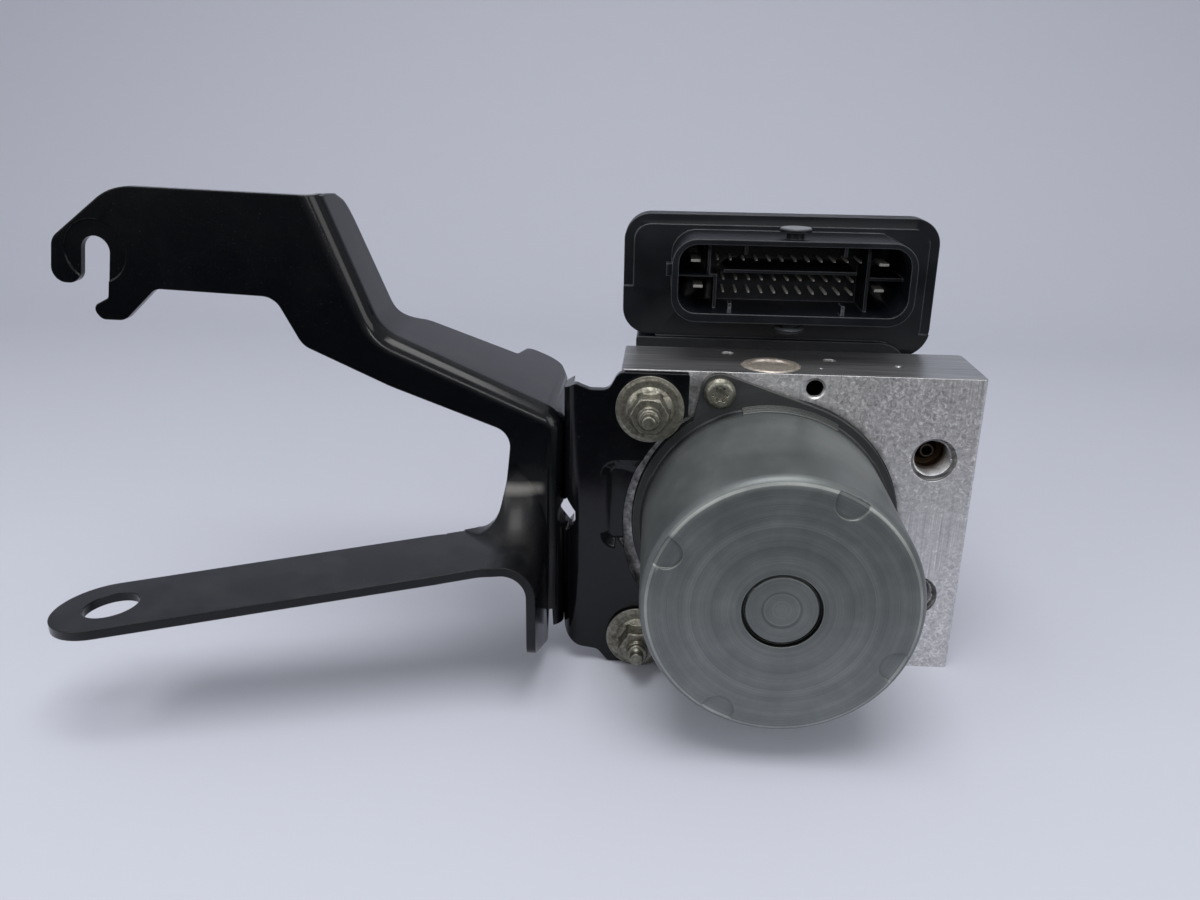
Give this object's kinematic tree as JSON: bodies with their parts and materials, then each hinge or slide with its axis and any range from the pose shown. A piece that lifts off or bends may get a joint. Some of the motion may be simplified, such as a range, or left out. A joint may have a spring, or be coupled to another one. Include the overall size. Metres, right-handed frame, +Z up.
{
  "type": "abs brake module",
  "caption": "Aluminium hydraulic block with a round pump motor in front, a black control unit with a pin connector behind and a stamped black bracket with a long arm and a hook.",
  "frame": {"origin": "middle of the hydraulic block's bottom face", "axes": "+Z up, +X across the block to the side of the brake ports, -Y the way the motor points"},
  "size_m": [0.2614, 0.1262, 0.1394],
  "materials": {
    "block_aluminium": "satin machined",
    "motor_steel": "satin grey",
    "bright_steel": "turned",
    "piston_plastic": "moulded",
    "black_rubber": "matte",
    "zinc_plate": "zinc plated",
    "ferrite": "matte",
    "copper": "drawn",
    "carbon": "matte",
    "coil_plastic": "moulded",
    "unit_plastic": "satin moulded",
    "board_green": "lacquered",
    "tinned_contact": "tinned",
    "black_coat": "gloss black dip coat"
  },
  "bodies": {
    "module": {"arm_bracket": "black_coat", "ball_plugs": "bright_steel", "bracket_nuts": "zinc_plate", "bracket_sleeves": "bright_steel", "bracket_studs": "zinc_plate", "brush_card": "piston_plastic", "carbon_brushes": "carbon", "carrier_plate": "black_coat", "circuit_board": "board_green", "connector_pins": "tinned_contact", "contact_sleeve": "piston_plastic", "ecu_cover": "unit_plastic", "ecu_housing": "unit_plastic", "ecu_screws": "zinc_plate", "ecu_seal": "black_rubber", "hydraulic_block": "block_aluminium", "lower_accumulator_plug": "bright_steel", "lower_accumulator_spring": "bright_steel", "motor_can": "motor_steel", "motor_contact_pins": "copper", "motor_end_plate": "bright_steel", "motor_gasket": "black_rubber", "motor_magnets": "ferrite", "motor_screws": "zinc_plate", "nut_washers": "zinc_plate", "power_blades": "tinned_contact", "pressure_sensor": "bright_steel", "pump_cylinders": "bright_steel", "pump_pistons": "bright_steel", "rubber_bushes": "black_rubber", "shaft_bearings": "bright_steel", "solenoid_coils": "coil_plastic", "upper_accumulator_plug": "bright_steel", "upper_accumulator_spring": "bright_steel", "valve_cartridges": "bright_steel"},
    "rotor": {"motor_shaft": "bright_steel", "eccentric_bearing": "bright_steel", "armature_core": "ferrite", "armature_windings": "copper", "commutator": "copper"},
    "upper_piston": {"upper_accumulator_piston": "piston_plastic"},
    "lower_piston": {"lower_accumulator_piston": "piston_plastic"}
  },
  "joints": [
    {"name": "motor_spin", "type": "hinge", "parent": "module", "child": "rotor", "pos_m": [-0.0082, -0.02, 0.04605], "axis": [0, 1, 0], "continuous": true},
    {"name": "upper_accumulator_travel", "type": "slide", "parent": "module", "child": "upper_piston", "axis": [0, 0, 1], "range_m": [0, 0.004], "stiffness_N_per_m": 1500, "springref_m": -0.006, "deforming": ["upper_accumulator_spring"]},
    {"name": "lower_accumulator_travel", "type": "slide", "parent": "module", "child": "lower_piston", "axis": [0, 0, -1], "range_m": [0, 0.004], "stiffness_N_per_m": 1500, "springref_m": -0.006, "deforming": ["lower_accumulator_spring"]}
  ]
}
